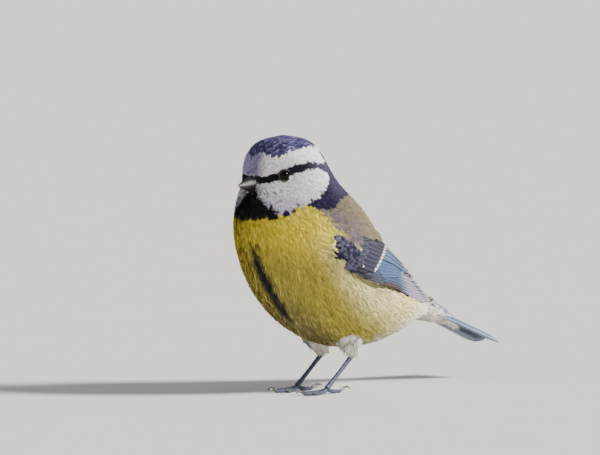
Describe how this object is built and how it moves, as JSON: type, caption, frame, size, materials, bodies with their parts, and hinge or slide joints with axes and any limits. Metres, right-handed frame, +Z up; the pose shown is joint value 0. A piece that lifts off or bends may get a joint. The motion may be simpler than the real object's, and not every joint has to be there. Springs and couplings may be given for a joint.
{
  "type": "life-size blue tit model",
  "caption": "Still, life-size model of a blue tit standing on both feet, head turned to its right, wings folded, tail sloping down behind.",
  "frame": {"origin": "on the floor under the middle of the bird's length and width", "axes": "+Z up, -Y where the body faces, +X to the bird's left"},
  "size_m": [0.0442, 0.1128, 0.085],
  "materials": {
    "plumage_blue": "soft matt feathers, violet-blue crown, white cheeks, navy bands",
    "plumage_yellow": "soft matt feathers, yellow breast and flanks, olive-green back",
    "plumage_pale": "soft matt whitish leg feathers",
    "flight_feathers": "smooth slate-blue vanes with paler edges and a white wing bar",
    "bill_horn": "hard horn with a soft gloss, dark with a paler cutting edge",
    "claw_horn": "smooth dark horn",
    "leg_skin": "scaled slate-blue skin",
    "eye": "wet, very dark brown"
  },
  "bodies": {
    "root": {"head": "plumage_blue", "bill_upper": "bill_horn", "bill_lower": "bill_horn", "eye_left": "eye", "eye_right": "eye", "neck": "plumage_blue", "torso": "plumage_yellow", "wing_left": "flight_feathers", "wing_right": "flight_feathers", "tail": "flight_feathers", "thigh_left": "plumage_pale", "thigh_right": "plumage_pale", "tarsus_left": "leg_skin", "tarsus_right": "leg_skin", "foot_left": "leg_skin", "foot_right": "leg_skin", "claw_inner_left": "claw_horn", "claw_middle_left": "claw_horn", "claw_outer_left": "claw_horn", "claw_hind_left": "claw_horn", "claw_inner_right": "claw_horn", "claw_middle_right": "claw_horn", "claw_outer_right": "claw_horn", "claw_hind_right": "claw_horn"}
  },
  "joints": []
}
